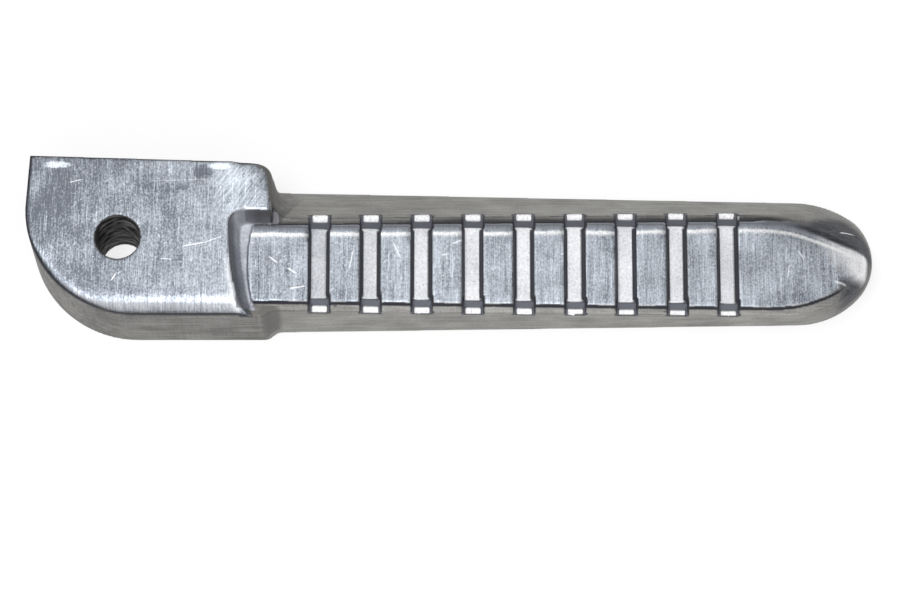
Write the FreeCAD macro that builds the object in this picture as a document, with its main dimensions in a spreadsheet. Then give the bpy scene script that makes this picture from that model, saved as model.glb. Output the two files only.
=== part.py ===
import FreeCAD, Part
import math
import os
import re
import Sketcher

# Cast aluminium rear footrest of a motorcycle, one piece, in millimetres.
# Origin: on the pivot bore's axis, in the plane of the underside. +Z runs up the bore,
# +X along the bar to its tip, and -Y is the side with the upright wall and the round lug corner.

SIZES = {
    # Lug: plan outline about the pivot, thickness and edges
    "pivot_bore": 8.2,
    "lug_thickness": 17.6,
    "lug_back": 17.0,
    "lug_back_lean": 0.6,
    "lug_front": 27.45,
    "lug_front_draft": 1.15,
    "lug_stop_side": 15.7,
    "lug_ear_start": 19.0,
    "lug_ear_side": 14.6,
    "lug_round_side": 14.5,
    "lug_round_radius": 20.1,
    "lug_ear_radius": 4.5,
    "lug_shoulder_drop": 1.3,
    "lug_shoulder_out": 0.55,
    "lug_shoulder_radius": 2.6,
    "lug_foot_radius": 1.5,
    "lug_heel_radius": 2.4,
    "lug_roll_width": 3.0,
    "lug_roll_drop": 1.8,
    # Bar: outline of the underside, from inside the lug to the rounded nose
    "bar_root": 8.0,
    "bar_length": 139.2,
    "bar_near_root": 13.3,
    "bar_near_nose": 11.65,
    "bar_far_root": 14.75,
    "bar_far_nose": 12.3,
    "nose_length": 14.2,
    "nose_cap": 2.95,
    "nose_half_width": 7.45,
    "nose_offset": 0.75,
    "ear_fillet": 3.4,
    "heel_fillet": 2.6,
    # Tread plane: its drop below the lug face on the pivot axis and its fall to the tip, in degrees
    "tread_drop": 1.5,
    "tread_slope": 2.5,
    "ledge_near_nose": 12.95,
    "ledge_far_root": 4.0,
    "ledge_far_nose": 6.45,
    "ledge_nose_length": 17.2,
    "ledge_nose_cap": 2.5,
    "ledge_nose_near": 6.2,
    "ledge_nose_far": 1.0,
    # Recess that the lug face is cut down by, round the start of the pads
    "recess_back": 20.1,
    "recess_ear": 5.3,
    "recess_rim_radius": 2.6,
    "recess_toe_radius": 1.5,
    "recess_slant": 3.1,
    "recess_wall_run": 2.1,
    # Pads: the raised tread, cut into ten by the grooves
    "pad_height": 1.3,
    "pad_start": 24.5,
    "pad_bow_radius": 30.0,
    "pad_near": 11.85,
    "pad_far_root": 3.0,
    "pad_far_nose": 5.1,
    "pad_nose_length": 19.7,
    "pad_beak_back": 2.6,
    "pad_beak_near": 4.7,
    "pad_beak_far": 3.4,
    "pad_edge_round": 1.1,
    "pad_fall_length": 9.0,
    "pad_fall_drop": 1.0,
    # Grooves across the pads, and the stepped notch at each end of a groove
    "groove_count": 9,
    "groove_first": 36.8,
    "groove_pitch": 9.36,
    "groove_floor": 2.75,
    "groove_depth": 1.6,
    "groove_draft": 18.0,
    "notch_near_top": 10.25,
    "notch_near_dip": 12.0,
    "notch_far_top": 1.9,
    "notch_far_dip": 4.55,
    "notch_far_taper": 1.3,
    "notch_drop": 1.5,
    "notch_mouth": 3.9,
    "notch_floor": 2.8,
}

# How far a cut runs past the surface it leaves by, the share of its wall that a rounding may take,
# and how close two positions are that count as the same
CUT_CLEARANCE = 2.0
ROUND_SHARE = 0.9
NEAR = 1e-3

doc = FreeCAD.newDocument("footrest")
sheet = doc.addObject("Spreadsheet::Sheet", "sizes")
for row, (alias, size) in enumerate(SIZES.items(), start=1):
    sheet.set(f"A{row}", alias)
    sheet.set(f"B{row}", str(size))
    sheet.setAlias(f"B{row}", alias)
doc.recompute()

# Level of the tread plane on the pivot axis
TREAD = "(lug_thickness - tread_drop)"

body = doc.addObject("PartDesign::Body", "footrest")
body.Label = "footrest"
planes = {plane.Role: plane for plane in body.Origin.OriginFeatures}


def from_sheet(expression):
    """Write a formula in the sheet's words as an expression of the document."""
    return re.sub(r"[a-z]\w+_\w+", lambda word: "sizes." + word.group(), expression)


def number(expression):
    """The value that a formula has at the sheet's present sizes."""
    return float(body.evalExpression(from_sheet(expression)))


def bind(feature, place, expression):
    feature.setExpression(place, from_sheet(expression))


def new_sketch(name, level, sloped=False, plane="XY_Plane"):
    """A sketch at a level above an origin plane, flat on it or parallel to the tread."""
    sketch = body.newObject("Sketcher::SketchObject", name)
    sketch.AttachmentSupport = [(planes[plane], "")]
    sketch.MapMode = "FlatFace"
    if sloped:
        turn = FreeCAD.Rotation(FreeCAD.Vector(0, 1, 0), number("tread_slope"))
        sketch.AttachmentOffset = FreeCAD.Placement(FreeCAD.Vector(), turn)
        bind(sketch, "AttachmentOffset.Rotation.Angle", "tread_slope")
    bind(sketch, "AttachmentOffset.Base.z", level)
    return sketch


def arc_by_tangent(start, end, direction):
    """Centre and signed radius of the arc from start to end that leaves start along direction."""
    chord = end - start
    normal = FreeCAD.Vector(-direction.y, direction.x, 0)
    radius = chord.dot(chord) / (2 * chord.dot(normal))
    return start + normal * radius, radius


def arc_by_radius(start, end, radius):
    """Centre of the arc from start to end that bulges out of an outline drawn anticlockwise."""
    chord = end - start
    normal = FreeCAD.Vector(-chord.y, chord.x, 0).normalize()
    return (start + end) * 0.5 + normal * math.sqrt(radius ** 2 - chord.Length ** 2 / 4)


def outline(sketch, corners, arcs=None):
    """Draw a closed outline anticlockwise through corners, each a pair of formulas.

    arcs says which segments are round: "start" or "end" for an arc that runs on smoothly from the
    segment before or into the one after, or a formula for its radius.
    """
    arcs = arcs or {}
    count = len(corners)
    points = [FreeCAD.Vector(number(x), number(y), 0) for x, y in corners]
    heading = [(points[(i + 1) % count] - points[i]).normalize() for i in range(count)]
    ends = []
    for i in range(count):
        start = points[i]
        end = points[(i + 1) % count]
        if i not in arcs:
            sketch.addGeometry(Part.LineSegment(start, end))
            ends.append((1, 2))
            continue
        if arcs[i] == "start":
            centre, radius = arc_by_tangent(start, end, heading[i - 1])
        elif arcs[i] == "end":
            centre, radius = arc_by_tangent(end, start, -heading[(i + 1) % count])
            radius = -radius
        else:
            radius = number(arcs[i])
            centre = arc_by_radius(start, end, radius)
        turn = math.copysign(1, radius)
        spoke = end - centre
        heading[i] = FreeCAD.Vector(-spoke.y, spoke.x, 0).normalize() * turn
        first, last = (start, end) if turn > 0 else (end, start)
        circle = Part.Circle(centre, FreeCAD.Vector(0, 0, 1), abs(radius))
        angles = [math.atan2(point.y - centre.y, point.x - centre.x) for point in (first, last)]
        sketch.addGeometry(Part.ArcOfCircle(circle, angles[0], angles[1]))
        ends.append((1, 2) if turn > 0 else (2, 1))
    for i in range(count):
        before = (i - 1) % count
        smooth = arcs.get(i) == "start" or arcs.get(before) == "end"
        joint = "Tangent" if smooth else "Coincident"
        sketch.addConstraint(Sketcher.Constraint(joint, before, ends[before][1], i, ends[i][0]))
        for axis, formula in zip("XY", corners[i]):
            place = sketch.addConstraint(
                Sketcher.Constraint("Distance" + axis, -1, 1, i, ends[i][0], number(formula)))
            bind(sketch, f"Constraints[{place}]", formula)
        if arcs.get(i, "start") not in ("start", "end"):
            place = sketch.addConstraint(Sketcher.Constraint("Radius", i, number(arcs[i])))
            bind(sketch, f"Constraints[{place}]", arcs[i])
    return sketch


def rectangle(sketch, x_low, x_high, y_low, y_high):
    return outline(sketch, [(x_low, y_low), (x_high, y_low), (x_high, y_high), (x_low, y_high)])


def loft(kind, name, sections):
    feature = body.newObject("PartDesign::" + kind, name)
    feature.Profile = sections[0]
    feature.Sections = sections[1:]
    feature.Ruled = True
    doc.recompute()
    return feature


def fillet(name, radius, wanted):
    """Round the edges of the body so far whose middle point wanted accepts."""
    base = body.Tip
    names = []
    for index, edge in enumerate(base.Shape.Edges, start=1):
        middle = edge.valueAt((edge.FirstParameter + edge.LastParameter) / 2)
        if wanted(middle, edge):
            names.append(f"Edge{index}")
    feature = body.newObject("PartDesign::Fillet", name)
    feature.Base = (base, names)
    bind(feature, "Radius", radius)
    doc.recompute()
    return feature


def pattern(name, feature, direction):
    """Repeat a groove or a notch along the tread."""
    copies = body.newObject("PartDesign::LinearPattern", name)
    copies.Originals = [feature]
    copies.Direction = direction
    bind(copies, "Length", "groove_pitch * (groove_count - 1)")
    bind(copies, "Occurrences", "groove_count")
    body.Tip = copies
    doc.recompute()
    return copies


# Lug: a thick plate with one square corner and one big round corner
lug_block_front = f"lug_front + lug_front_draft + {CUT_CLEARANCE}"
lug_outline = outline(new_sketch("lug_outline", "0"), [
    ("lug_back_lean - lug_back", "lug_stop_side"),
    ("-lug_back", "lug_round_radius - lug_round_side"),
    ("lug_round_radius - lug_back", "-lug_round_side"),
    (lug_block_front, "-lug_round_side"),
    (lug_block_front, "lug_ear_side"),
    ("lug_ear_start", "lug_ear_side"),
], arcs={1: "end"})
lug = body.newObject("PartDesign::Pad", "lug")
lug.Profile = lug_outline
bind(lug, "Length", "lug_thickness")
doc.recompute()


# Front of the lug: a drafted end wall between a rounded ear on +Y and a rounded heel on -Y,
# worn down along its upper edge
def front_cut(name, level, front, ear_radius):
    past_block = f"{lug_block_front} + {CUT_CLEARANCE}"
    return outline(new_sketch(name, level), [
        (f"{front} - lug_heel_radius", f"-lug_round_side - {CUT_CLEARANCE}"),
        (past_block, f"-lug_round_side - {CUT_CLEARANCE}"),
        (past_block, f"lug_ear_side + {CUT_CLEARANCE}"),
        (f"{front} - {ear_radius}", f"lug_ear_side + {CUT_CLEARANCE}"),
        (f"{front} - {ear_radius}", "lug_ear_side"),
        (front, f"lug_ear_side - {ear_radius}"),
        (front, "lug_heel_radius - lug_round_side"),
        (f"{front} - lug_heel_radius", "-lug_round_side"),
    ], arcs={4: "end", 6: "start"})


front_foot = front_cut("front_foot", "0", "(lug_front + lug_front_draft)", "lug_foot_radius")
front_shoulder = front_cut("front_shoulder", "lug_thickness - lug_shoulder_drop",
                           "(lug_front + lug_shoulder_out)", "lug_shoulder_radius")
front_top = front_cut("front_top", "lug_thickness", "lug_front", "lug_ear_radius")
loft("SubtractiveLoft", "front", [front_foot, front_shoulder, front_top])

# The lug face is rolled off towards its -Y edge, as a belt grinder leaves it
roll_edge = "-lug_round_side"
roll_profile = outline(new_sketch("roll_profile", "0", plane="YZ_Plane"), [
    (f"{roll_edge} + lug_roll_width", "lug_thickness"),
    (roll_edge, "lug_thickness - lug_roll_drop"),
    (f"{roll_edge} - {CUT_CLEARANCE}", "lug_thickness - lug_roll_drop"),
    (f"{roll_edge} - {CUT_CLEARANCE}", f"lug_thickness + {CUT_CLEARANCE}"),
    (f"{roll_edge} + lug_roll_width + {CUT_CLEARANCE}", f"lug_thickness + {CUT_CLEARANCE}"),
    (f"{roll_edge} + lug_roll_width + {CUT_CLEARANCE}", "lug_thickness"),
], arcs={0: "start"})
roll = body.newObject("PartDesign::Pocket", "roll")
roll.Profile = roll_profile
roll.SideType = "Two sides"
roll.Type = "ThroughAll"
roll.Type2 = "ThroughAll"
doc.recompute()

# Bar: nearly upright wall on the -Y side, sloping side on +Y, nose rounded in plan
bar_underside = outline(new_sketch("bar_underside", "0"), [
    ("bar_root", "-bar_near_root"),
    ("bar_length - nose_length", "-bar_near_nose"),
    ("bar_length - nose_cap", "nose_offset - nose_half_width"),
    ("bar_length - nose_cap", "nose_offset + nose_half_width"),
    ("bar_length - nose_length", "bar_far_nose"),
    ("bar_root", "bar_far_root"),
], arcs={1: "start", 2: "start", 3: "end"})
bar_ledge = outline(new_sketch("bar_ledge", TREAD, sloped=True), [
    ("bar_root", "-bar_near_root"),
    ("bar_length - ledge_nose_length", "-ledge_near_nose"),
    ("bar_length - ledge_nose_cap", "-ledge_nose_near"),
    ("bar_length - ledge_nose_cap", "-ledge_nose_far"),
    ("bar_length - ledge_nose_length", "ledge_far_nose"),
    ("bar_root", "ledge_far_root"),
], arcs={1: "start", 2: "start", 3: "end"})
loft("AdditiveLoft", "bar", [bar_underside, bar_ledge])

# Recess: the lug face is cut away down to the tread, with a sloping wall
cut_front = f"lug_front + lug_front_draft + {CUT_CLEARANCE}"
cut_near = f"-lug_round_side - {CUT_CLEARANCE}"
recess_rim = outline(new_sketch("recess_rim", "lug_thickness"), [
    (cut_front, "recess_ear"),
    ("recess_back + recess_rim_radius", "recess_ear"),
    ("recess_back", "recess_ear - recess_rim_radius"),
    ("recess_back + recess_slant", cut_near),
    (cut_front, cut_near),
], arcs={1: "start", 2: "start"})
recess_toe = outline(new_sketch("recess_toe", TREAD, sloped=True), [
    (cut_front, "recess_ear - recess_wall_run"),
    ("recess_back + recess_wall_run + recess_toe_radius", "recess_ear - recess_wall_run"),
    ("recess_back + recess_wall_run", "recess_ear - recess_wall_run - recess_toe_radius"),
    ("recess_back + recess_wall_run + recess_slant", cut_near),
    (cut_front, cut_near),
], arcs={1: "start", 2: "start"})
loft("SubtractiveLoft", "recess", [recess_rim, recess_toe])

# Fillets where the lug's end runs into the bar
lug_front = number("lug_front")
lug_foot = number("lug_front + lug_front_draft")
tread_level = number(f"{TREAD} - (lug_front + lug_front_draft) * tan(tread_slope)")


def under_ear(middle, edge):
    """Foot of the ear's end wall, on the bar's sloping side."""
    share = middle.z / tread_level
    side = number("bar_far_root") * (1 - share) + number("ledge_far_root") * share
    on_end = lug_front - number("lug_ear_radius") < middle.x < lug_foot + NEAR
    on_side = abs(middle.y - side) < number("lug_foot_radius") / 2
    return on_end and on_side and NEAR < middle.z < tread_level - NEAR


def in_heel(middle, edge):
    """Upright corner between the lug's end and the bar's wall."""
    on_end = abs(middle.x - lug_front) < number("lug_front_draft")
    on_wall = abs(middle.y + number("bar_near_root")) < number("lug_heel_radius") / 2
    return on_end and on_wall and edge.BoundBox.ZLength > tread_level / 2


fillet("ear_foot", "ear_fillet", under_ear)
fillet("heel_foot", "heel_fillet", in_heel)

# Pads: one raised layer on the tread, bowed at the lug and drawn out to a beak at the nose
pad_outline = outline(new_sketch("pad_outline", TREAD, sloped=True), [
    ("pad_start", "-pad_near"),
    ("bar_length - pad_nose_length", "-pad_near"),
    ("bar_length - pad_beak_back", "-pad_beak_near"),
    ("bar_length - pad_beak_back", "-pad_beak_far"),
    ("bar_length - pad_nose_length", "pad_far_nose"),
    ("pad_start", "pad_far_root"),
], arcs={1: "start", 3: "end", 5: "pad_bow_radius"})
pads = body.newObject("PartDesign::Pad", "pads")
pads.Profile = pad_outline
bind(pads, "Length", "pad_height")
doc.recompute()

tread_normal = FreeCAD.Vector(math.sin(math.radians(number("tread_slope"))), 0,
                              math.cos(math.radians(number("tread_slope"))))
pad_top = FreeCAD.Vector(0, 0, number(TREAD)) + tread_normal * number("pad_height")


def far_pad_edge(middle, edge):
    """The pads' upper edge on the +Y side, from the lug to the beak."""
    on_top = abs((middle - pad_top).dot(tread_normal)) < NEAR
    return on_top and middle.y > -number("pad_beak_far") and middle.x > number("pad_start")


fillet("pad_edge", f"min(pad_edge_round; {ROUND_SHARE} * pad_height)", far_pad_edge)

# The last pad falls away towards the beak
def pad_level(x):
    return f"{TREAD} + pad_height / cos(tread_slope) - ({x}) * tan(tread_slope)"


fall_start = "bar_length - pad_fall_length"
fall_lead = f"{fall_start} - {CUT_CLEARANCE}"
fall_profile = outline(new_sketch("fall_profile", "0", plane="XZ_Plane"), [
    (fall_start, pad_level(fall_start)),
    ("bar_length", f"{pad_level('bar_length')} - pad_fall_drop"),
    ("bar_length", f"{pad_level('bar_length')} + {CUT_CLEARANCE}"),
    (fall_lead, f"{pad_level('bar_length')} + {CUT_CLEARANCE}"),
    (fall_lead, pad_level(fall_lead)),
], arcs={0: "start"})
fall = body.newObject("PartDesign::Pocket", "fall")
fall.Profile = fall_profile
fall.SideType = "Two sides"
fall.Type = "ThroughAll"
fall.Type2 = "ThroughAll"
doc.recompute()

# Bore for the pivot pin
bore_outline = new_sketch("bore_outline", "0")
bore_outline.addGeometry(Part.Circle(FreeCAD.Vector(), FreeCAD.Vector(0, 0, 1), number("pivot_bore / 2")))
bore_outline.addConstraint(Sketcher.Constraint("Coincident", 0, 3, -1, 1))
bore_size = bore_outline.addConstraint(Sketcher.Constraint("Diameter", 0, number("pivot_bore")))
bind(bore_outline, f"Constraints[{bore_size}]", "pivot_bore")
bore = body.newObject("PartDesign::Pocket", "bore")
bore.Profile = bore_outline
bore.Type = "ThroughAll"
bore.Reversed = True
doc.recompute()

# Grooves: one cut right across the tread, repeated
past_near = f"-bar_near_root - {CUT_CLEARANCE}"
past_far = f"bar_far_root + {CUT_CLEARANCE}"
groove_cut = f"(groove_depth + {CUT_CLEARANCE})"
groove_half = f"(groove_floor / 2 + {groove_cut} * tan(groove_draft))"
groove_outline = rectangle(
    new_sketch("groove_outline", f"{TREAD} + pad_height + {CUT_CLEARANCE}", sloped=True),
    f"groove_first - {groove_half}", f"groove_first + {groove_half}",
    past_near, past_far)
groove = body.newObject("PartDesign::Pocket", "groove")
groove.Profile = groove_outline
bind(groove, "Length", groove_cut)
bind(groove, "TaperAngle", "-groove_draft")
doc.recompute()
pattern("grooves", groove, (groove_outline, ["H_Axis"]))

# Notches: at each end of a groove the tread's side steps down to a landing, with a sloping riser
def notch_section(name, level, width, y_low, y_high):
    return rectangle(new_sketch(name, level, sloped=True),
                     f"groove_first - {width} / 2", f"groove_first + {width} / 2", y_low, y_high)


def notch(name, top, dip, outside):
    """A cut from a riser at top and dip out past the bar's side."""
    sections = []
    for section, level, width, inner in (
            ("landing", f"{TREAD} - notch_drop", "notch_floor", dip),
            ("brim", TREAD, "notch_mouth", top),
            ("clear", f"{TREAD} + pad_height + {CUT_CLEARANCE}", "notch_mouth", top)):
        spans = sorted((inner, outside), key=number)
        sections.append(notch_section(f"{name}_{section}", level, width, *spans))
    return loft("SubtractiveLoft", name, sections)


# The +Y notches keep to the edge of the tread, which widens towards the nose
far_step = ("groove_pitch", "groove_pitch * tan(notch_far_taper)")
far_line = new_sketch("far_line", TREAD, sloped=True)
far_end = FreeCAD.Vector(number(far_step[0]), number(far_step[1]), 0)
far_line.addGeometry(Part.LineSegment(FreeCAD.Vector(), far_end))
far_line.addConstraint(Sketcher.Constraint("Coincident", 0, 1, -1, 1))
for axis, formula in zip("XY", far_step):
    place = far_line.addConstraint(Sketcher.Constraint("Distance" + axis, 0, 1, 0, 2, number(formula)))
    bind(far_line, f"Constraints[{place}]", formula)
doc.recompute()

near_notch = notch("near_notch", "-notch_near_top", "-notch_near_dip", past_near)
pattern("near_notches", near_notch, (groove_outline, ["H_Axis"]))
far_notch = notch("far_notch", "notch_far_top", "notch_far_dip", past_far)
pattern("far_notches", far_notch, (far_line, ["Edge1"]))

body.Placement = FreeCAD.Placement()
doc.recompute()

# The part is written only if every feature came out and the casting is one sound solid
for feature in doc.Objects:
    if "Invalid" in feature.State or "Error" in feature.State:
        raise RuntimeError(f"{feature.Label} did not build: {feature.State}")
if body.Shape.isNull() or not body.Shape.isValid() or len(body.Shape.Solids) != 1:
    raise RuntimeError("the footrest is not one valid solid")
print("footrest volume in cubic millimetres:", round(body.Shape.Volume, 1))

os.makedirs("parts", exist_ok=True)
body.Shape.exportStep(f"parts/{body.Label}.step")
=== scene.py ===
import bpy
import math
import numpy as np
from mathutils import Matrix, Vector, noise


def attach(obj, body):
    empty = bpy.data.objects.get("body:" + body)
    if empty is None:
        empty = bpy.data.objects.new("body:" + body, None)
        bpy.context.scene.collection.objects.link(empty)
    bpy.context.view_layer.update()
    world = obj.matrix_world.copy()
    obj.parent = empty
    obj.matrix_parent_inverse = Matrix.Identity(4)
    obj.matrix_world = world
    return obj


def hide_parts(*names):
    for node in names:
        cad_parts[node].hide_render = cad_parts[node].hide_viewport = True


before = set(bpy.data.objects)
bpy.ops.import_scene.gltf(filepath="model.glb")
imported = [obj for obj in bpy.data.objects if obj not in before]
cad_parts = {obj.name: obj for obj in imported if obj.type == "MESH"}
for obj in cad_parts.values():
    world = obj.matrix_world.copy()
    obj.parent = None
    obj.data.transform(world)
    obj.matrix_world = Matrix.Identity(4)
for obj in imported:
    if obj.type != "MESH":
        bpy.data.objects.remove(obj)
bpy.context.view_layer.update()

MM = 0.001

# Sizes that the wear and finishes follow, in millimetres: the lug, its bore, round corner and flat back
LUG_THICKNESS = 17.6
BORE_RADIUS = 4.1
CORNER_X = 3.1
CORNER_Y = 5.6
CORNER_RADIUS = 20.1
STOP_X = -16.7
STOP_Y = 10.65
STOP_LEAN = 0.0594

# The recess between the lug's face and the bowed end of the first pad
RECESS_BACK = 20.1
RECESS_END = 29.0
RECESS_NEAR = -13.2
RECESS_EAR = 5.3
RECESS_BOTTOM = 14.6
RECESS_BOW = 61.0
RECESS_BOW_START = 2.7
FIRST_PAD_X = 23.6
FIRST_PAD_Y = -4.4
FIRST_PAD_BOW = 60.0

# The tread, its grooves and its pads
TREAD_LEVEL = 16.1
TREAD_SLOPE = math.radians(2.5)
GROOVE_FIRST = 36.8
GROOVE_PITCH = 9.36
GROOVE_COUNT = 9
GROOVE_HALF = 2.0
PAD_START = 23.3
PAD_NEAR = 11.85
PAD_FAR_ROOT = 3.0
PAD_FAR_FROM = 24.5
PAD_FAR_RISE = 0.0221

# Heights above the groove floors between which the floor starts and the landing ends
FLOOR_STARTS = (-0.55, -0.38)
LANDING_ENDS = (-1.35, -1.15)

# The nose, where the two edges of the last pad turn in
NOSE_START = 119.0
NOSE_TURN = 7.2
NOSE_FAR_BEND = 0.027
NOSE_FAR_RUN = 0.39
NOSE_NEAR_BEND = 0.0245

# The casting's skin is remeshed finely, eased, worn more at its edges, then thinned out where it is flat
SKIN_DEPTH = 9
SKIN_SHARE = 0.60
EASING_ROUNDS = 3
ROLL_ROUNDS = 90
EAR_ROUNDS = 70
NOSE_ROUNDS = 350
PAD_EDGE_ROUNDS = 45

# The drill's rings in the bore
RING_PITCH = 2.2
RING_DEPTH = 0.16
RING_SWAY = 0.30
RING_WANDER = 0.7
WANDER_DEPTH = 0.10

# Colours of the ground faces, of what marks them, and of the painted shade and highlights on their edges
GROUND_DARK = (0.13, 0.145, 0.17)
GROUND_LIGHT = (0.74, 0.80, 0.88)
SCRATCH_BRIGHT = (0.95, 0.96, 0.98)
SHOULDER_SHADE = (0.34, 0.355, 0.40)
PAINTED_HIGHLIGHT = (0.99, 0.99, 1.0)
EDGE_SHADE = (0.035, 0.035, 0.045)

# Colours of the cast sides and of the nose, with the painted shade, shadow and highlight on them
CAST_DARK = (0.13, 0.127, 0.12)
CAST_LIGHT = (0.38, 0.375, 0.355)
FOOT_SHADE = (0.04, 0.039, 0.041)
EAR_SHADOW = (0.06, 0.06, 0.063)
TIP_SHADE = (0.07, 0.07, 0.072)
CRACK_DARK = (0.05, 0.048, 0.045)
NOSE_DARK = (0.035, 0.036, 0.043)
NOSE_LIGHT = (0.15, 0.153, 0.168)
NOSE_SCRATCH = (0.95, 0.95, 0.97)
WORN_TIP_HIGHLIGHT = (0.97, 0.97, 0.98)

# Colours of the grooves, the recess and the bore, several of them painted shade
FROST_DARK = (0.27, 0.29, 0.32)
FROST_LIGHT = (0.80, 0.80, 0.83)
PIT_GREY = (0.25, 0.25, 0.27)
LANDING_DARK = (0.42, 0.42, 0.44)
LANDING_LIGHT = (0.90, 0.90, 0.92)
WALL_DARK = (0.040, 0.042, 0.055)
RISER_SHADE = (0.135, 0.142, 0.168)
RECESS_DARK = (0.23, 0.24, 0.27)
RECESS_LIGHT = (0.55, 0.57, 0.62)
RECESS_SHADE = (0.10, 0.105, 0.125)
EAR_FOOT_LIGHT = (0.29, 0.30, 0.33)
EAR_FOOT_DARK = (0.17, 0.17, 0.18)
BORE_SHADE = (0.010, 0.010, 0.010)
BORE_LIGHT = (0.26, 0.255, 0.25)

# How light the ground faces and the groove floors are along the footrest: painted light, darker towards the
# lug and the tip
GROUND_FROM, GROUND_TO = -20.0, 140.0
GROUND_LEVELS = {0.0: 0.15, 0.1: 0.22, 0.19: 0.34, 0.26: 0.43, 0.45: 0.54, 0.7: 0.52, 0.85: 0.5, 0.92: 0.4}
FROST_FROM, FROST_TO = 30.0, 120.0
FLOOR_LIGHT_LEVELS = {0.0: 0.30, 0.08: 0.38, 0.20: 0.62, 0.35: 0.72, 0.62: 0.76, 0.8: 0.66, 0.95: 0.50}

# Patches on the lug's face painted with dark reflections, with their middle, reach and depth, and painted
# highlights by its far edge
DARK_REFLECTION_PATCHES = (
    ((-11.0, 8.5), (4.2, 5.5), 0.22),
    ((15.4, 12.6), (2.2, 1.6), 0.30),
    ((10.0, 9.4), (3.0, 1.3), 0.16),
)
HIGHLIGHT_PATCHES = (
    ((-11.3, 13.9), (3.0, 0.8)),
    ((18.4, 13.6), (2.4, 0.8)),
)

# Long scratches on the lug, the pads and the nose, with their start, end and width
LONG_SCRATCHES = (
    ((11.7, -1.8), (16.1, -1.0), 0.15),
    ((15.8, -1.1), (19.2, 0.2), 0.10),
    ((-1.1, -8.5), (0.0, -6.8), 0.15),
    ((7.6, -4.1), (10.2, -4.3), 0.12),
    ((-9.2, 10.4), (-6.6, 11.1), 0.11),
    ((30.8, -5.3), (32.8, -6.6), 0.20),
    ((27.4, -3.2), (29.3, -4.6), 0.20),
    ((31.2, -9.4), (34.4, -8.8), 0.18),
    ((43.0, -1.6), (42.2, -5.6), 0.16),
    ((50.2, -0.2), (51.6, -3.4), 0.18),
    ((60.8, -0.5), (63.7, 0.7), 0.22),
    ((58.7, -2.6), (60.4, -2.4), 0.20),
    ((80.6, -2.2), (82.2, -1.8), 0.20),
    ((124.4, -0.6), (125.4, -2.4), 0.14),
    ((122.8, -3.4), (122.4, -6.4), 0.12),
    ((132.3, 3.4), (136.0, 4.3), 0.20),
    ((130.8, -6.6), (133.3, -7.3), 0.30),
)
FAINT_SCRATCH = ((5.6, 10.7), (16.4, 11.1), 0.12)
FAINTNESS = 0.3
SCRATCH_TAPER = 0.6

# The floor lies a hair below the underside, so that the two don't share one plane
FLOOR_DROP = 0.2
FLOOR_SIZE = 6.0
FLOOR_WHITENESS = 0.8

# The room's light near the horizon and overhead
ROOM_DIM = 0.10
ROOM_LIGHT = 0.34

# The photograph's viewpoint: off the vertical by the tilt, from the -Y side
CAMERA_PLACE = (0.0606, -0.2400, 0.7632)
CAMERA_TILT = 17.0
CAMERA_LENS = 171.9
SENSOR_WIDTH = 36.0


class Socket:
    """A number, colour or vector that varies over a surface: one output of a shader node."""

    def __init__(self, finish, socket):
        self.finish = finish
        self.socket = socket

    def maths(self, operation, *values):
        return self.finish.node("ShaderNodeMath", {"operation": operation}, dict(enumerate(values)))

    def __add__(self, other):
        return self.maths("ADD", self, other)

    def __radd__(self, other):
        return self.maths("ADD", other, self)

    def __sub__(self, other):
        return self.maths("SUBTRACT", self, other)

    def __rsub__(self, other):
        return self.maths("SUBTRACT", other, self)

    def __mul__(self, other):
        return self.maths("MULTIPLY", self, other)

    def __rmul__(self, other):
        return self.maths("MULTIPLY", other, self)

    def __truediv__(self, other):
        return self.maths("DIVIDE", self, other)

    def __rtruediv__(self, other):
        return self.maths("DIVIDE", other, self)

    def __abs__(self):
        return self.maths("ABSOLUTE", self)

    def larger(self, other):
        return self.maths("MAXIMUM", self, other)

    def smaller(self, other):
        return self.maths("MINIMUM", self, other)


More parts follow.
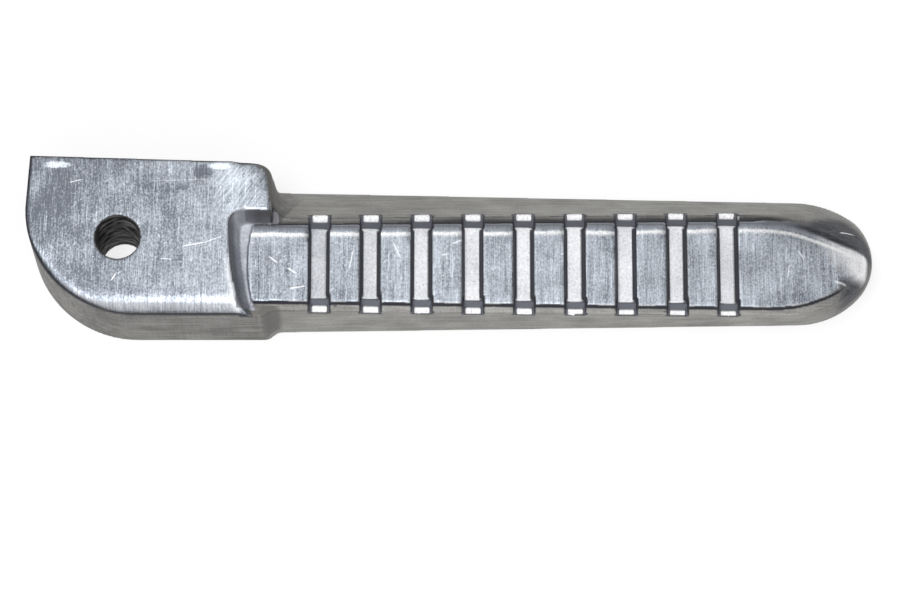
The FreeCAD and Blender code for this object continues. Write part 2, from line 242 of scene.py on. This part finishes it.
class Finish:
    """The shader nodes of a material or of the room, with one way to add a node."""

    def __init__(self, owner):
        self.owner = owner
        owner.use_nodes = True
        self.tree = owner.node_tree
        self.tree.nodes.clear()

    def node(self, kind, settings=None, sockets=None, output=0):
        """Add a node: its settings are set first, a ramp's stops among them, then its sockets."""
        node = self.tree.nodes.new(kind)
        for setting, value in (settings or {}).items():
            if setting == "stops":
                self.set_stops(node.color_ramp.elements, value)
            else:
                setattr(node, setting, value)
        for place, value in (sockets or {}).items():
            self.feed(node.inputs[place], value)
        if not node.outputs:
            return None
        return Socket(self, node.outputs[output])

    def set_stops(self, elements, stops):
        while len(elements) < len(stops):
            elements.new(0.5)
        for element, (position, level) in zip(elements, stops.items()):
            element.position = position
            element.color = (level, level, level, 1.0)

    def feed(self, place, value):
        if isinstance(value, Socket):
            self.tree.links.new(value.socket, place)
        elif isinstance(value, tuple) and place.type == "RGBA":
            place.default_value = (*value, 1.0)
        else:
            place.default_value = value

    def blend(self, first, second, mask):
        """One colour turning into another where the mask is 1."""
        settings = {"data_type": "RGBA"}
        return self.node("ShaderNodeMix", settings, {0: mask, 6: first, 7: second}, output=2)

    def rise(self, value, low, high):
        """0 below low, 1 above high, and smooth between."""
        settings = {"interpolation_type": "SMOOTHSTEP"}
        return self.node("ShaderNodeMapRange", settings, {0: value, 1: low, 2: high})

    def fall(self, value, low, high):
        """1 below low, 0 above high, and smooth between."""
        return 1 - self.rise(value, low, high)

    def follow(self, value, low, high, levels):
        """A number that follows levels, each given at a share of the way from low to high."""
        share = self.node("ShaderNodeMapRange", None, {0: value, 1: low, 2: high})
        return self.node("ShaderNodeValToRGB", {"stops": levels}, {0: share})

    def painted(self, name):
        """A mask that is stored on the piece's points."""
        return self.node("ShaderNodeAttribute", {"attribute_name": name}, output=2)

    def stretched(self, fineness, turn=0.0):
        """Object coordinates in millimetres, turned about Z, then each axis made finer or drawn out."""
        place = self.node("ShaderNodeTexCoord", output="Object")
        turned = self.node("ShaderNodeMapping", None, {0: place, 2: (0.0, 0.0, math.radians(turn))})
        per_metre = tuple(part / MM for part in fineness)
        return self.node("ShaderNodeMapping", None, {0: turned, 3: per_metre})

    def grain(self, fineness, detail, roughness=0.5, turn=0.0):
        """Noise that is fine along one axis and drawn out along another."""
        sockets = {"Vector": self.stretched(fineness, turn), "Scale": 1.0}
        sockets.update({"Detail": detail, "Roughness": roughness})
        return self.node("ShaderNodeTexNoise", None, sockets)


class Points:
    """A piece's points: places in millimetres, how they lie on the tread, and which way they face."""

    def __init__(self, piece):
        self.x, self.y, self.z = self.read(piece, "co").T / MM
        facings = self.read(piece, "normal")
        self.tilt = facings[:, 2]
        self.upward = facings[:, 0] * math.sin(TREAD_SLOPE) + facings[:, 2] * math.cos(TREAD_SLOPE)
        level = self.z - TREAD_LEVEL
        self.along = self.x * math.cos(TREAD_SLOPE) - level * math.sin(TREAD_SLOPE)
        self.height = self.x * math.sin(TREAD_SLOPE) + level * math.cos(TREAD_SLOPE)
        number = np.clip(np.round((self.along - GROOVE_FIRST) / GROOVE_PITCH), 0, GROOVE_COUNT - 1)
        self.off_groove = np.abs(self.along - GROOVE_FIRST - number * GROOVE_PITCH)
        self.from_far = pad_far(self.x) - self.y
        self.pad_near = NOSE_NEAR_BEND * np.maximum(self.x - NOSE_START, 0) ** 2 - PAD_NEAR

    def read(self, piece, what):
        values = np.zeros(len(piece.data.vertices) * 3)
        piece.data.vertices.foreach_get(what, values)
        return values.reshape(-1, 3)


def rise(values, low, high):
    """0 below low, 1 above high, and smooth between."""
    share = np.clip((values - low) / (high - low), 0.0, 1.0)
    return share * share * (3 - 2 * share)


def fall(values, low, high):
    """1 below low, 0 above high, and smooth between."""
    return 1 - rise(values, low, high)


def between(values, low, high):
    return (values > low) & (values < high)


def pad_far(x):
    """Where the pads end on their far side, round the nose as well."""
    turning = np.clip(x - NOSE_START, 0.0, NOSE_TURN)
    straight_on = np.maximum(x - NOSE_START - NOSE_TURN, 0.0)
    edge = PAD_FAR_ROOT + (x - PAD_FAR_FROM) * PAD_FAR_RISE
    return edge - turning ** 2 * NOSE_FAR_BEND - straight_on * NOSE_FAR_RUN


def corner_inset(x, y):
    """How far in from the lug's round corner a point lies."""
    return CORNER_RADIUS - np.hypot(x - CORNER_X, y - CORNER_Y)


def rim_inset(x, y):
    """How far in from the lug's round corner and near side a point lies."""
    from_side = y - CORNER_Y + CORNER_RADIUS
    round_part = np.where(y < CORNER_Y, corner_inset(x, y), x - CORNER_X + CORNER_RADIUS)
    return np.where(x < CORNER_X, round_part, from_side)


def select_only(piece):
    bpy.ops.object.select_all(action="DESELECT")
    piece.select_set(True)
    bpy.context.view_layer.objects.active = piece


def apply_modifier(piece, kind, **settings):
    modifier = piece.modifiers.new(kind.lower(), kind)
    for setting, value in settings.items():
        setattr(modifier, setting, value)
    select_only(piece)
    bpy.ops.object.modifier_apply(modifier=modifier.name)


def ease(piece, name, mask, rounds):
    """Wear down the part of a piece that a mask marks."""
    group = piece.vertex_groups.new(name=name)
    for number in np.flatnonzero(mask > 0.01):
        group.add([int(number)], float(mask[number]), "REPLACE")
    apply_modifier(piece, "SMOOTH", factor=0.5, iterations=rounds, vertex_group=name)
    piece.vertex_groups.remove(piece.vertex_groups[name])


def cast_skin():
    """The footrest's own solid, eased as a casting is, worn at its edges and drilled."""
    piece = bpy.data.objects.new("casting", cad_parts["footrest"].data.copy())
    bpy.context.scene.collection.objects.link(piece)
    select_only(piece)
    bpy.ops.object.mode_set(mode="EDIT")
    bpy.ops.mesh.select_all(action="SELECT")
    bpy.ops.mesh.remove_doubles(threshold=0.001 * MM)
    bpy.ops.object.mode_set(mode="OBJECT")
    apply_modifier(piece, "REMESH", mode="SHARP", octree_depth=SKIN_DEPTH, scale=0.99)
    apply_modifier(piece, "SMOOTH", factor=0.5, iterations=EASING_ROUNDS)
    wear_ends(piece)
    wear_pads(piece)
    drill(piece)
    apply_modifier(piece, "DECIMATE", ratio=SKIN_SHARE)
    select_only(piece)
    bpy.ops.object.shade_smooth()
    return piece


def wear_ends(piece):
    """Round the lug's near edge, its ear and the nose."""
    at = Points(piece)
    roll = fall(rim_inset(at.x, at.y), 2.0, 4.5) * rise(at.z, 12.5, 15.5) * rise(-at.y, -1.0, 6.0)
    roll = roll * fall(at.x, 21.0, 23.5)
    ear = rise(at.x, 20.5, 23.0) * rise(at.y, 8.5, 10.5) * rise(at.z, 9.0, 13.0)
    far_half = np.maximum(rise(at.y, -4.5, -2.0), rise(at.x, 132.0, 135.0))
    nose = rise(at.x, 116.0, 123.0) * rise(at.z, 4.0, 8.0) * far_half
    ease(piece, "roll", roll, ROLL_ROUNDS)
    ease(piece, "ear", ear, EAR_ROUNDS)
    ease(piece, "nose", nose, NOSE_ROUNDS)


def wear_pads(piece):
    """Round the far edges of the pads, and leave the grooves between them crisp."""
    at = Points(piece)
    worn = rise(at.from_far, -0.6, 0.2) * fall(at.from_far, 2.6, 3.8) * rise(at.height, 0.25, 0.6)
    worn = worn * between(at.x, 25, 119) * (at.off_groove > GROOVE_HALF)
    ease(piece, "worn", worn, PAD_EDGE_ROUNDS)


def drill(piece):
    """Leave the drill's uneven rings in the bore."""
    for point in piece.data.vertices:
        across = Vector((point.co.x, point.co.y, 0.0)) / MM
        height = point.co.z / MM
        if across.length > BORE_RADIUS + 0.25 or not 0.6 < height < LUG_THICKNESS - 0.8:
            continue
        angle = math.atan2(across.y, across.x)
        wander = noise.noise((across.x * 0.35, across.y * 0.35, height * 0.25))
        turn = height / RING_PITCH + RING_SWAY * math.sin(angle + 0.8) + RING_WANDER * wander
        depth = RING_DEPTH * math.sin(turn * math.tau) + WANDER_DEPTH * wander
        point.co += across.normalized() * depth * MM


def mark_zones(piece):
    """Store on the points where the casting is ground, frosted or drilled, and where painted shade and a
    painted highlight go.
    """
    at = Points(piece)
    on_bore = np.hypot(at.x, at.y) < BORE_RADIUS + 0.45
    bore = on_bore * fall(np.abs(at.tilt), 0.5, 0.8)
    recess = recess_zone(at)
    zones = lug_zones(at, recess)
    zones.update(groove_zones(at))
    zones["ground"] = np.maximum(zones["ground"], pad_zone(at)) * (1 - bore)
    zones["edge"] = zones["edge"] * (1 - bore)
    zones["recess"] = recess
    zones["bore"] = bore
    for name, mask in zones.items():
        layer = piece.data.attributes.new(name, "FLOAT", "POINT")
        layer.data.foreach_set("value", mask.astype(np.float32))


def recess_zone(at):
    """The recess between the lug's face and the first pad."""
    bow = np.maximum(RECESS_BOW_START - at.y, 0.0) ** 2 / (2 * RECESS_BOW)
    pad_start = FIRST_PAD_X + (at.y - FIRST_PAD_Y) ** 2 / FIRST_PAD_BOW
    off_pad = (at.x < pad_start + 0.2) | (at.y > PAD_FAR_ROOT + 0.3)
    inside = between(at.x, RECESS_BACK + bow - 0.2, RECESS_END) & (at.z > RECESS_BOTTOM)
    inside = inside & between(at.y, RECESS_NEAR, RECESS_EAR + 0.2)
    return inside * off_pad * fall(at.z, LUG_THICKNESS - 0.35, LUG_THICKNESS - 0.15)


def lug_zones(at, recess):
    """The lug's ground face, its edges painted dark as shade, the painted highlight on its rolled edge, and
    the foot of its ear, painted as shade.
    """
    x, y, z, tilt = at.x, at.y, at.z, at.tilt
    on_lug = (x < 30) * (z > LUG_THICKNESS - np.where(x > 22, 2.2, 4.0)) * (1 - recess)
    on_roll = (rim_inset(x, y) < 6) * rise(-y, 0.0, 6.0)
    under_ear = (x > 20) & between(y, 4, 6.4)
    flat_from = 0.84 - 0.4 * on_roll + 0.12 * under_ear
    flat_to = 0.94 - 0.32 * on_roll + 0.05 * under_ear
    ground = rise(tilt, flat_from, flat_to) * on_lug

    level = z - LUG_THICKNESS
    not_flat = fall(tilt, 0.80 - 0.35 * on_roll, 0.94 - 0.35 * on_roll)
    # Painted shade: the lug's steep eased edges, its back edge and the rim of its round corner are marked
    # to be painted dark.
    edge = on_lug * (x < 24) * rise(tilt, 0.12, 0.38) * not_flat
    back_edge = (x < -14) * (y > -2) * rise(level, -1.4, -0.6) * fall(tilt, 0.8, 0.94)
    from_back = x - STOP_X - (y - STOP_Y) * STOP_LEAN
    inset = np.where(y > CORNER_Y, from_back, corner_inset(x, y))
    rim_edge = fall(inset, 0.30, 0.80) * rise(level, -1.4, -0.4) * rise(-x, -1.0, 6.0)
    edge = np.maximum(np.maximum(edge, back_edge), rim_edge)

    # Painted highlight: the rolled near edge is painted bright where it tilts towards the front lamp.
    rubbed = on_lug * on_roll * rise(1 - tilt, 0.004, 0.08) * fall(1 - tilt, 0.28, 0.42)
    rubbed = rubbed * (x < 22.5) * rise(x, -14.0, -2.0)

    # Painted shade at the foot of the ear, and on the steep lip under the ear's edge.
    lip = between(x, 20.3, 26) * between(y, 4.6, 6.2) * (z > LUG_THICKNESS - 1.5) * fall(tilt, 0.93, 0.985)
    ear_foot = np.maximum(recess * rise(y, 2.6, 3.6) * rise(x, 20.6, 22.6), lip)
    return {"ground": ground, "edge": edge, "rubbed": rubbed, "ear_foot": ear_foot}


def pad_zone(at):
    """The ground tops of the pads, crisp by the grooves and the near side."""
    on_pads = (at.x > PAD_START) & (at.height > 0.45 - 3 * rise(at.x, 121, 132))
    on_pads = on_pads & between(at.y, at.pad_near - 0.1, 7) & ((at.from_far > -0.3) | (at.x < 118))
    flat_top = rise(at.upward, 0.80, 0.92) * (at.height > 0.9)
    inner = (at.from_far > 3.0) | (at.off_groove < GROOVE_HALF + 0.1)
    crisp = (beside_groove(at) & inner) | near_edge(at)
    return np.where(crisp, flat_top, rise(at.upward, 0.3, 0.55)) * on_pads


def beside_groove(at):
    return at.off_groove < GROOVE_HALF + 0.7


def near_edge(at):
    return (at.y < at.pad_near + 0.8) & (at.x < 132)


def groove_zones(at):
    """The grooves' floors, landings and risers, and the walls round them and round the pads."""
    across = between(at.y, -13.5, 9.0) & (at.z > 5)
    inside = (at.off_groove < GROOVE_HALF) * across
    floor = inside * rise(at.height, *FLOOR_STARTS) * (at.height < 0.35) * rise(at.upward, 0.85, 0.95)
    landing = inside * fall(at.height, *LANDING_ENDS) * rise(at.upward, 0.7, 0.9)
    # The risers are painted darker than the floor and landing, as shade on their steep slope.
    riser = inside * fall(at.height, *FLOOR_STARTS) * rise(at.height, *LANDING_ENDS)

    # Walls: dark cast skin, darkened further as painted shade in the grooves, on the pads' steep sides and
    # in the creases at their feet.
    steep = (at.off_groove < GROOVE_HALF + 0.12) * across * (at.height > -1.7) * fall(at.upward, 0.80, 0.93)
    pad_side = (at.x > PAD_START - 1) & between(at.height, -0.1, 1.25)
    side = pad_side & (at.y < 6.5) & ~beside_groove(at)
    wall = np.maximum(steep * fall(landing, 0.0, 0.5), side * fall(at.upward, 0.3, 0.6))
    skirt = pad_side & (at.off_groove > GROOVE_HALF)
    near_foot = skirt * near_edge(at) * fall(at.upward, 0.75, 0.9) * (at.y > at.pad_near - 0.75)
    low_down = (at.height < 0.55) * fall(at.upward, 0.8, 0.93)
    far_foot = skirt * between(at.y, 2.0, 6.5) * (at.x < 117) * low_down
    wall = np.maximum(wall, np.maximum(near_foot, far_foot))
    return {"floor": floor, "landing": landing, "riser": riser, "wall": wall}


class CastingFinish(Finish):
    """The casting's finish, with the places, zones and grains that its colours share."""

    def __init__(self):
        super().__init__(bpy.data.materials.new("aluminium_casting"))
        place = self.node("ShaderNodeTexCoord", output="Object")
        self.x = self.node("ShaderNodeSeparateXYZ", None, {0: place}, output="X") / MM
        self.y = self.node("ShaderNodeSeparateXYZ", None, {0: place}, output="Y") / MM
        self.z = self.node("ShaderNodeSeparateXYZ", None, {0: place}, output="Z") / MM
        self.ground = self.painted("ground")
        self.rubbed = self.painted("rubbed")
        self.speckle = self.grain((3.0, 2.2, 2.2), 3.0, 0.65)
        self.sparkle = self.rise(self.grain((5.0, 3.2, 3.0), 2.0, 0.6), 0.60, 0.72)
        self.clouds = self.grain((0.17, 0.17, 0.17), 3.0)
        self.drags = self.grain((0.10, 1.6, 1.6), 3.0, 0.6)
        self.lines = self.rise(self.grain((9.0, 0.16, 0.5), 2.0, 0.6, 2.0), 0.56, 0.70)
        self.far_edge = self.from_far_edge() + (self.clouds - 0.5) * 0.9
        self.long_scratches = self.all_long_scratches()

        # Brushing, which runs across the tread and turns diagonal by the ear
        self.corner = self.spot((22.0, 9.5), (7.0, 7.0))
        self.diagonal = self.grain((3.0, 0.20, 0.5), 3.0, 0.6, 35.0)
        straight = self.grain((4.6, 0.13, 0.5), 5.0, 0.7)
        self.strokes = straight + (self.diagonal - straight) * self.corner

    def from_far_edge(self):
        """How far in from the pads' far edge a point lies, round the nose as well."""
        turning = (self.x - NOSE_START).larger(0.0).smaller(NOSE_TURN)
        straight_on = (self.x - NOSE_START - NOSE_TURN).larger(0.0)
        edge = PAD_FAR_ROOT + (self.x - PAD_FAR_FROM) * PAD_FAR_RISE
        return edge - turning * turning * NOSE_FAR_BEND - straight_on * NOSE_FAR_RUN - self.y

    def from_recess(self):
        """How far in from the recess's rim a point of the lug lies."""
        bow = (RECESS_BOW_START - self.y).larger(0.0)
        return RECESS_BACK + bow * bow / (2 * RECESS_BOW) - self.x

    def spot(self, middle, reach):
        """A soft oval patch, 1 in its middle."""
        across = (self.x - middle[0]) / reach[0]
        along = (self.y - middle[1]) / reach[1]
        return self.fall(across * across + along * along, 0.15, 1.0)

    def short_scratches(self, fineness, turn, bare):
        """Short scratches that all lean one way; bare is the share of places that have none."""
        sockets = {"Vector": self.stretched(fineness, turn), "Scale": 1.0}
        nearness = self.node("ShaderNodeTexVoronoi", None, sockets, output="Distance")
        chance = self.node("ShaderNodeTexVoronoi", None, sockets, output="Color")
        chance = self.node("ShaderNodeSeparateColor", None, {0: chance}, output="Red")
        return self.fall(nearness, 0.06, 0.20) * self.rise(chance, bare, bare + 0.02)

    def long_scratch(self, start, end, width):
        """One long thin scratch from start to end."""
        run_x = end[0] - start[0]
        run_y = end[1] - start[1]
        length = math.hypot(run_x, run_y)
        from_x = self.x - start[0]
        from_y = self.y - start[1]
        across = (from_x * run_y - from_y * run_x) / length
        along = (from_x * run_x + from_y * run_y) / length
        inside = self.rise(along, 0.0, SCRATCH_TAPER) * self.fall(along, length - SCRATCH_TAPER, length)
        return inside * self.fall(abs(across), width * 0.4, width)

    def all_long_scratches(self):
        total = self.long_scratch(*FAINT_SCRATCH) * FAINTNESS
        for start, end, width in LONG_SCRATCHES:
            total = total + self.long_scratch(start, end, width)
        return total

    def nicks(self):
        """Short bright nicks all over, with more on the first pads."""
        steep = self.short_scratches((2.6, 0.36, 0.30), 60.0, 0.83)
        shallow = self.short_scratches((2.4, 0.30, 0.30), -30.0, 0.92)
        on_first_pads = self.rise(self.x, 22.0, 24.0) * self.fall(self.x, 60.0, 100.0)
        dents = self.short_scratches((2.2, 0.55, 0.40), 25.0, 0.72) * on_first_pads
        return steep.larger(shallow).larger(dents) * self.rise(self.speckle, 0.36, 0.50)

    def brushed(self):
        """The ground faces: brushed, scratched and patchy, with painted highlights along their edges."""
        x, y, speckle = self.x, self.y, self.speckle
        streaks = self.grain((1.5, 0.05, 0.5), 3.0, 0.6)
        tone = (self.strokes - 0.5) * 0.9 + (speckle - 0.5) * 1.3 + (self.clouds - 0.5) * 0.75
        tone = tone + self.sparkle * 0.40 + self.lines * 0.45
        tone = tone + (streaks - 0.5) * (0.3 + self.rise(x, 22.0, 23.0) * 0.5) - 0.10
        tone = tone + (self.diagonal - 0.5) * self.corner * 0.6 - self.rubbed * 0.25
        # Painted light along the footrest, darker towards the lug's back and the tip.
        tone = tone + self.follow(x, GROUND_FROM, GROUND_TO, GROUND_LEVELS) + self.corner * 0.18
        # Painted dark reflections and highlights on the lug's face.
        for middle, reach, depth in DARK_REFLECTION_PATCHES:
            tone = tone - self.spot(middle, reach) * depth
        for middle, reach in HIGHLIGHT_PATCHES:
            tone = tone + self.spot(middle, reach) * (speckle * 1.6)
        colour = self.blend(GROUND_DARK, GROUND_LIGHT, tone)
        marks = self.nicks().larger(self.long_scratches)
        colour = self.blend(colour, SCRATCH_BRIGHT, marks * (speckle * 0.6 + 0.4))

        far_edge = self.far_edge
        on_tread = self.rise(x, 23.0, 24.0) * self.rise(far_edge, -1.8, -1.4)
        # Painted shade: the pads' rounded far shoulders are darkened where they turn away from the light.
        shoulder_shade = self.fall(far_edge, 1.3, 1.9) * on_tread * self.fall(x, 128.0, 132.0)
        colour = self.blend(colour, SHOULDER_SHADE, shoulder_shade * (1.25 - speckle))
        # Painted highlights: a line just inside the pads' far edge, another along the recess's rim, and the
        # lug's rolled edge.
        far_highlight = self.rise(far_edge, 1.7, 2.1) * self.fall(far_edge, 2.2, 3.0) * on_tread
        rim = self.from_recess()
        rim_highlight = self.fall(rim, 0.5, 1.6) * self.rise(rim, -0.3, 0.1) * self.fall(y, -8.0, 0.0)
        bright = far_highlight * (speckle * 1.5 + self.sparkle * 0.3 + 0.08) + rim_highlight * 0.35
        bright = bright + self.rubbed * (self.strokes * 0.7 - 0.05)
        return self.blend(colour, PAINTED_HIGHLIGHT, bright.smaller(1.0) * self.ground)

    def cast_side(self):
        """The dull cast sides, with painted shade along the pads' foot, in the corner by the lug and at the
        tip, and a painted shadow beside the ear.
        """
        x, y, z, speckle = self.x, self.y, self.z, self.speckle
        above = self.rise(z, 1.0, 4.0)
        combed = self.grain((2.4, 0.8, 0.06), 2.0)
        # Painted shade in the concave heel where the lug's wall meets the near wall.
        heel = self.spot((27.8, -13.6), (2.4, 1.6))
        # Painted shadow of the ear on the far side, with a crisp curved edge.
        ear_shadow = self.rise(y, 2.4, 3.2) * self.fall(x - y * 0.46, 27.5, 28.4) * self.rise(x, 19.5, 24.5)
        tone = (self.drags - 0.5) * 1.4 + (speckle - 0.5) + (self.clouds - 0.5)
        tone = tone + (combed - 0.5) * 0.35 * self.fall(x, 26.0, 29.0)
        tone = tone - self.fall(x, 25.0, 28.0) * 0.24 + self.rise(x, 28.0, 31.0) * 0.12
        tone = tone + self.rise(x, 45.0, 75.0) * self.rise(y, 4.0, 6.0) * 0.12
        tone = tone - heel * above * 0.55 - ear_shadow * self.rise(z, 2.0, 9.0) * 0.42
        colour = self.blend(CAST_DARK, CAST_LIGHT, tone + 0.46)

        # Painted shade in the crease along the pads' far foot.
        foot = self.rise(self.far_edge, -1.9, -0.3) * self.fall(self.far_edge, 1.0, 2.0) * above
        foot = foot * self.rise(x, 24.0, 26.0) * self.fall(x, 118.0, 130.0)
        foot = foot * (speckle * 0.8 + 0.35 + self.rise(x, 46.0, 58.0) * 0.35)
        colour = self.blend(colour, FOOT_SHADE, foot)
        # The ear's painted shadow, darkened further.
        ear_shade = ear_shadow * self.rise(z, 6.0, 12.0) * self.fall(y, 5.0, 8.0)
        colour = self.blend(colour, EAR_SHADOW, ear_shade * 0.6)
        # Painted shade on the cast sides round the tip.
        tip_shade = self.rise(x, 126.0, 136.0) * self.rise(z, 1.0, 7.0)
        colour = self.blend(colour, TIP_SHADE, tip_shade * 0.8)
        cracks = self.short_scratches((0.30, 0.8, 2.6), 0.0, 0.90) * self.rise(speckle, 0.40, 0.50)
        return self.blend(colour, CRACK_DARK, cracks)

    def frosted(self):
        """The groove floors: frosted, and pitted here and there."""
        # Painted light: the floors are darker near the lug and near the tip.
        frost = self.follow(self.x, FROST_FROM, FROST_TO, FLOOR_LIGHT_LEVELS)
        frost = frost + (self.speckle - 0.5) * 1.2 + (self.clouds - 0.5) * 0.7
        pits = self.rise(self.grain((2.6, 2.6, 2.6), 2.0), 0.68, 0.74)
        return self.blend(self.blend(FROST_DARK, FROST_LIGHT, frost), PIT_GREY, pits)

    def landings(self):
        return self.blend(LANDING_DARK, LANDING_LIGHT, (self.speckle - 0.5) * 2.0 + 0.76)

    def recessed(self):
        """The recess, in shade under the lug's face."""
        tone = (self.speckle - 0.5) * 1.4 + (self.clouds - 0.5) * 2.0 + 0.5
        shade = self.rise(self.from_recess(), -1.5, -0.6) * 0.62
        return self.blend(self.blend(RECESS_DARK, RECESS_LIGHT, tone), RECESS_SHADE, shade)

    # The foot of the ear, painted as shade: darker away from the lug.
    def ear_foot(self):
        return self.blend(EAR_FOOT_LIGHT, EAR_FOOT_DARK, self.rise(self.x, 22.5, 26.0))

    def ringed(self):
        """The bore, painted dark as shade between the drill's rings."""
        rings = self.grain((0.22, 0.22, 1.5), 4.0, 0.65)
        return self.blend(BORE_SHADE, BORE_LIGHT, (rings - 0.5) * 5.5 + 0.26)

    # The painted dark reflection and shade on the nose, streaked.
    def nose_shade(self):
        tone = (self.drags - 0.5) * 1.5 + (self.speckle - 0.5) + 0.4
        return self.blend(NOSE_DARK, NOSE_LIGHT, tone)

    def nose_zone(self):
        """Where the nose is painted dark: a painted dark reflection on its round far side, and painted
        shade on its near corner.
        """
        outer = self.y - (self.x - 126.0).larger(0.0) * 0.35
        side = self.fall(self.far_edge, 0.3, 1.4) * self.rise(self.x, 118.0, 128.0)
        side = side * self.fall(outer, 3.8, 6.4)
        near_corner = self.spot((137.0, -8.4), (7.0, 4.0)) * 0.9
        return side.larger(near_corner) * self.rise(self.z, 0.5, 5.0)

    def worn_tip_highlight_zone(self):
        """The worn point of the last pad, painted bright as a highlight."""
        towards_tip = self.x + self.y * 0.6 + (self.clouds - 0.5) * 4.0
        zone = self.rise(towards_tip, 127.0, 133.6) * self.rise(self.far_edge, 0.6, 1.4)
        zone = zone * self.rise(self.y, -7.2, -4.8) * self.fall(self.x, 136.8, 137.8)
        return zone * self.rise(self.z, 5.0, 9.0)


def aluminium():
    """One finish for the whole casting: ground faces, frosted floors, dull cast sides, rough bore."""
    finish = CastingFinish()
    ground = finish.ground
    rubbed = finish.rubbed
    speckle = finish.speckle
    strokes = finish.strokes
    floor = finish.painted("floor")
    landing = finish.painted("landing")
    recess = finish.painted("recess")
    bore = finish.painted("bore")
    nose = finish.nose_zone()
    worn_tip_highlight = finish.worn_tip_highlight_zone()

    colour = finish.blend(finish.cast_side(), finish.brushed(), ground)
    # Painted shade on the lug's edges.
    colour = finish.blend(colour, EDGE_SHADE, finish.painted("edge"))
    colour = finish.blend(colour, finish.frosted(), floor)
    colour = finish.blend(colour, finish.landings(), landing)
    # Dark cast skin and painted shade on the walls and the pads' feet.
    colour = finish.blend(colour, WALL_DARK, finish.painted("wall"))
    # Painted shade on the risers.
    colour = finish.blend(colour, RISER_SHADE, finish.painted("riser"))
    colour = finish.blend(colour, finish.recessed(), recess)
    colour = finish.blend(colour, finish.ear_foot(), finish.painted("ear_foot"))
    # Painted dark reflection and shade on the nose.
    colour = finish.blend(colour, finish.nose_shade(), nose)
    # Painted highlight on the worn point of the last pad, broken up by its grain.
    wear = speckle * 0.9 + strokes * 0.7 + finish.lines * 0.3 + 0.05
    colour = finish.blend(colour, WORN_TIP_HIGHLIGHT, worn_tip_highlight * wear)
    nose_scratches = finish.long_scratches * nose * finish.rise(finish.z, 5.0, 7.0)
    colour = finish.blend(colour, NOSE_SCRATCH, nose_scratches)
    colour = finish.blend(colour, finish.ringed(), bore)

    metallic = 0.45 + ground * 0.5 - floor * 0.3 - landing * 0.35 + recess * 0.4
    metallic = metallic - nose * 0.1 - bore * 0.1 - worn_tip_highlight * 0.5
    roughness = 0.62 - ground * 0.24 + speckle * ground * 0.10 + nose * 0.12 + rubbed * 0.28
    relief = strokes * ground * 0.5 + speckle * (1 - ground)
    bump = finish.node("ShaderNodeBump", None, {"Strength": 0.30, "Distance": 0.15 * MM, "Height": relief})

    shader = finish.node("ShaderNodeBsdfPrincipled", None, {
        "Base Color": colour, "Metallic": metallic, "Roughness": roughness, "Normal": bump})
    finish.node("ShaderNodeOutputMaterial", None, {"Surface": shader})
    return finish.owner


def pale_floor():
    """A floor that shows white and keeps a faint shadow."""
    finish = Finish(bpy.data.materials.new("pale_floor"))
    seen = finish.node("ShaderNodeLightPath", output="Is Camera Ray")
    mirrored = finish.node("ShaderNodeLightPath", output="Is Glossy Ray")
    through = finish.node("ShaderNodeLightPath", output="Is Transmission Ray")
    shown = seen.larger(mirrored).larger(through)
    matt = finish.node("ShaderNodeBsdfDiffuse", None, {"Color": (0.86, 0.86, 0.86)})
    white = finish.node("ShaderNodeEmission", None, {"Color": (1.0, 1.0, 1.0), "Strength": 1.0})
    mix = finish.node("ShaderNodeMixShader", None, {0: shown * FLOOR_WHITENESS, 1: matt, 2: white})
    finish.node("ShaderNodeOutputMaterial", None, {"Surface": mix})
    return finish.owner


def soft_room():
    """A room that is light overhead and dim towards the horizon."""
    finish = Finish(bpy.data.worlds.new("soft_room"))
    direction = finish.node("ShaderNodeTexCoord", output="Generated")
    upward = finish.node("ShaderNodeSeparateXYZ", None, {0: direction}, output="Z")
    share = finish.node("ShaderNodeMapRange", None, {0: upward, 1: 0.05, 2: 0.9})
    white = (1.0, 1.0, 1.0)
    dim = finish.node("ShaderNodeBackground", None, {"Color": white, "Strength": ROOM_DIM})
    light = finish.node("ShaderNodeBackground", None, {"Color": white, "Strength": ROOM_LIGHT})
    mix = finish.node("ShaderNodeMixShader", None, {0: share, 1: dim, 2: light})
    finish.node("ShaderNodeOutputWorld", None, {"Surface": mix})
    return finish.owner


def softbox(name, place, width, depth, power):
    """A soft lamp that faces the footrest's middle."""
    middle = Vector((0.06, 0.0, 0.01))
    lamp = bpy.data.lights.new(name, "AREA")
    lamp.shape = "RECTANGLE"
    lamp.size = width
    lamp.size_y = depth
    lamp.energy = power
    holder = bpy.data.objects.new(name, lamp)
    holder.location = place
    holder.rotation_euler = (middle - Vector(place)).to_track_quat("-Z", "Y").to_euler()
    bpy.context.scene.collection.objects.link(holder)


def studio():
    bpy.ops.object.select_all(action="DESELECT")
    bpy.ops.mesh.primitive_plane_add(size=FLOOR_SIZE, location=(0.0, 0.0, -FLOOR_DROP * MM))
    floor = bpy.context.object
    floor.name = "floor"
    floor.data.materials.append(pale_floor())

    softbox("front_softbox", place=(0.06, -0.53, 0.85), width=1.4, depth=0.9, power=6.4)
    softbox("back_softbox", place=(0.06, 0.72, 0.72), width=1.4, depth=0.14, power=0.8)
    softbox("top_softbox", place=(-0.25, -0.15, 1.40), width=0.5, depth=0.5, power=13.0)
    bpy.context.scene.world = soft_room()
    bpy.context.scene.view_settings.view_transform = "Standard"


def camera():
    lens = bpy.data.cameras.new("camera")
    lens.sensor_width = SENSOR_WIDTH
    lens.lens = CAMERA_LENS
    eye = bpy.data.objects.new("camera", lens)
    eye.location = CAMERA_PLACE
    eye.rotation_euler = (math.radians(CAMERA_TILT), 0.0, 0.0)
    bpy.context.scene.collection.objects.link(eye)
    bpy.context.scene.camera = eye


casting = cast_skin()
mark_zones(casting)
casting.data.materials.clear()
casting.data.materials.append(aluminium())
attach(casting, "root")
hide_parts("footrest")
studio()
camera()
